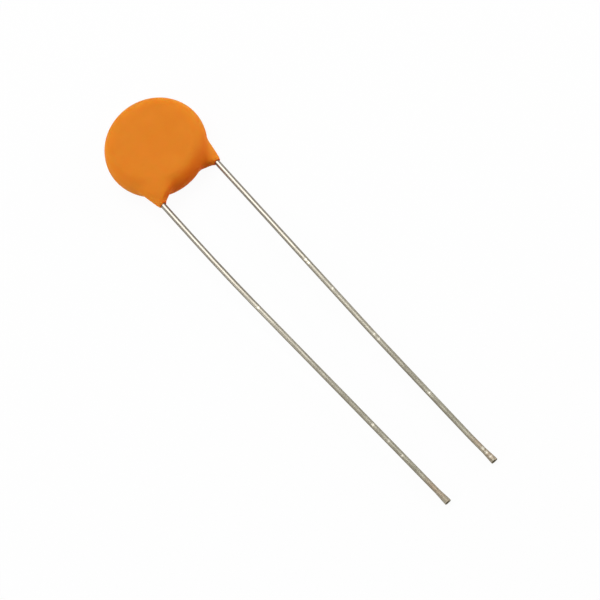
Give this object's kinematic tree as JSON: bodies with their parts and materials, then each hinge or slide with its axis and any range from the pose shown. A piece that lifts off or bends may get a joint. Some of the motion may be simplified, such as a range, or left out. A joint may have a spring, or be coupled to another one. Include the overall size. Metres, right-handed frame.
{
  "type": "ceramic disc capacitor",
  "caption": "Round ceramic disc capacitor in an orange dipped resin coat, with long straight tinned wire leads from one edge.",
  "frame": {"origin": "centre of the flat back face that the body rests on", "axes": "+Z out of the front face, the leads run along -Y, the back lead is on the +X side"},
  "size_m": [0.0094, 0.0491, 0.0027],
  "materials": {
    "orange_resin": "satin dipped resin, slightly uneven",
    "tinned_wire": "tinned drawn copper wire, slightly dull",
    "dielectric_ceramic": "matte sintered ceramic",
    "fired_silver": "fired silver paste, satin",
    "solder": "solidified solder, satin"
  },
  "bodies": {
    "root": {"resin_coating": "orange_resin", "front_lead": "tinned_wire", "back_lead": "tinned_wire", "ceramic_disc": "dielectric_ceramic", "front_electrode": "fired_silver", "back_electrode": "fired_silver", "front_solder_joint": "solder", "back_solder_joint": "solder"}
  },
  "joints": []
}
